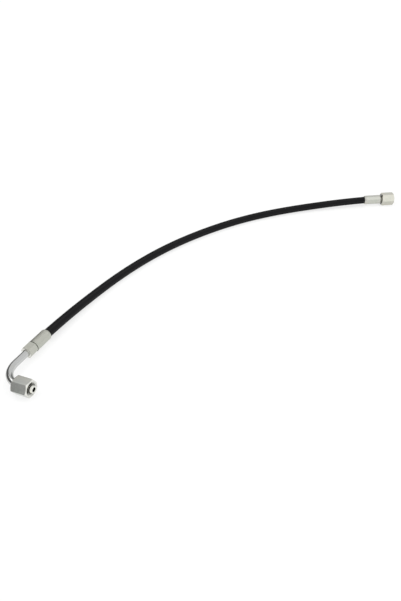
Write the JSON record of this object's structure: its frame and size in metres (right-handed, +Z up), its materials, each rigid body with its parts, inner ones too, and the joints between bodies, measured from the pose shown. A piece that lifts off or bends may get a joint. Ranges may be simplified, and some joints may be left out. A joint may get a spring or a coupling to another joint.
{
  "type": "hydraulic hose assembly",
  "caption": "Flexible high-pressure hydraulic hose with crimped ends, a swept elbow at one end, a straight fitting at the other, and loose hexagon swivel nuts on cone noses.",
  "frame": {"origin": "tip of the elbow's cone nose, on the axis of the elbow's swivel nut", "axes": "+X leaves the elbow's nose along its nut's axis, +Y is the way the hose leaves the elbow's ferrule, +Z is up. Both nuts lie on a flat of their hexagon at Z = -0.011, and the middle of the hose lies on the same surface."},
  "size_m": [0.4054, 0.7481, 0.022],
  "materials": {
    "cover_rubber": "matte with a faint sheen",
    "inner_rubber": "matte",
    "braid_wire": "brass-coated steel wire",
    "zinc_plated_steel": "bright zinc plating, turned and crimped",
    "plated_tube": "drawn tube, bright zinc plating",
    "plated_braze": "copper fillet under zinc plating",
    "seal_rubber": "smooth",
    "spring_wire": "drawn wire"
  },
  "bodies": {
    "hose_assembly": {"hose_cover": "cover_rubber", "hose_outer_braid": "braid_wire", "hose_interlayer": "inner_rubber", "hose_inner_braid": "braid_wire", "hose_inner_tube": "inner_rubber", "elbow_ferrule": "zinc_plated_steel", "elbow_hex_stem": "zinc_plated_steel", "elbow_stem_braze": "plated_braze", "elbow_tube": "plated_tube", "elbow_nose_braze": "plated_braze", "elbow_cone_nose": "zinc_plated_steel", "elbow_o_ring": "seal_rubber", "straight_ferrule": "zinc_plated_steel", "straight_stem": "zinc_plated_steel", "straight_o_ring": "seal_rubber", "straight_thrust_wire": "spring_wire"},
    "elbow_nut": {"elbow_swivel_nut": "zinc_plated_steel"},
    "straight_nut": {"straight_swivel_nut": "zinc_plated_steel"}
  },
  "joints": [
    {"name": "elbow_nut_spin", "type": "hinge", "parent": "hose_assembly", "child": "elbow_nut", "pos_m": [-0.016, 0, 0], "axis": [1, 0, 0], "continuous": true},
    {"name": "straight_nut_spin", "type": "hinge", "parent": "hose_assembly", "child": "straight_nut", "pos_m": [0.32502, 0.7193, 0], "axis": [0.9026, 0.4305, 0], "continuous": true}
  ]
}
